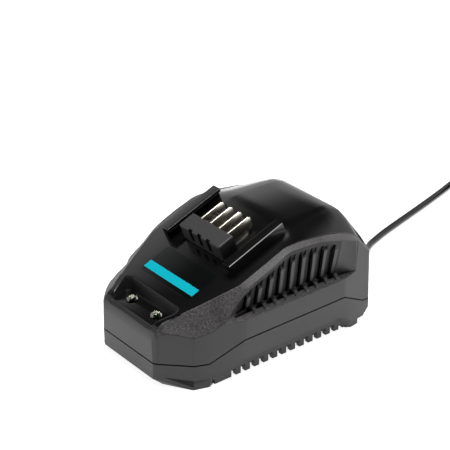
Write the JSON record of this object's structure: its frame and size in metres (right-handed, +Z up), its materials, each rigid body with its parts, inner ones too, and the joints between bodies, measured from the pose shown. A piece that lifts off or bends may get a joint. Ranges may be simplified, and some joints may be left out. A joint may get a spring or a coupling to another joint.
{
  "type": "power tool battery charger",
  "caption": "Black moulded charger for a slide-on tool battery: sloping dock with rails and contact blades, indicator lenses, vented sides, mains cord and plug.",
  "frame": {"origin": "centre of the housing's footprint, on the table it stands on", "axes": "+X to the right of someone facing the indicator end, +Y from the indicator end to the cord end, +Z up"},
  "size_m": [0.1196, 0.347, 0.0678],
  "materials": {
    "shell_plastic": "fine mould texture",
    "base_plastic": "fine mould texture",
    "label_film": "glossy film with a teal band",
    "rating_film": "bare silver film",
    "clear_lens": "clear moulded lens",
    "circuit_board": "green solder resist",
    "led_body": "epoxy",
    "screw_steel": "zinc plated",
    "capacitor_sleeve": "shrunk sleeve",
    "ferrite": "pressed ferrite",
    "winding_tape": "yellow winding tape",
    "copper_wire": "enamelled copper",
    "film_capacitor": "moulded box",
    "component_black": "moulded epoxy",
    "heat_sink": "plain sheet",
    "block_plastic": "fine mould texture",
    "contact_metal": "tin plated",
    "lead_red": "wire insulation",
    "lead_blue": "wire insulation",
    "cord_jacket": "smooth PVC jacket",
    "cord_rubber": "moulded",
    "plug_plastic": "moulded",
    "pin_metal": "nickel plated"
  },
  "bodies": {
    "root": {"upper_shell": "shell_plastic", "lower_shell": "base_plastic", "deck_label": "label_film", "rating_label": "rating_film", "power_lens": "clear_lens", "charge_lens": "clear_lens", "led_board": "circuit_board", "leds": "led_body", "led_screws": "screw_steel", "base_screws": "screw_steel", "main_board": "circuit_board", "board_screws": "screw_steel", "bulk_capacitor": "capacitor_sleeve", "output_capacitors": "capacitor_sleeve", "transformer_core": "ferrite", "transformer_winding": "winding_tape", "line_choke": "copper_wire", "x_capacitor": "film_capacitor", "mains_fuse": "component_black", "bridge_rectifier": "component_black", "primary_heat_sink": "heat_sink", "switching_transistor": "component_black", "output_heat_sink": "heat_sink", "output_diode": "component_black", "terminal_block": "block_plastic", "power_blades": "contact_metal", "sense_blades": "contact_metal", "output_leads": "lead_red", "led_leads": "lead_blue", "mains_leads": "lead_blue", "inner_cord": "cord_jacket", "cord_clamp": "block_plastic", "clamp_screws": "screw_steel", "strain_relief": "cord_rubber", "mains_cord": "cord_jacket", "cord_coil": "cord_jacket", "cord_tail": "cord_jacket", "plug_body": "plug_plastic", "plug_pins": "pin_metal"}
  },
  "joints": []
}
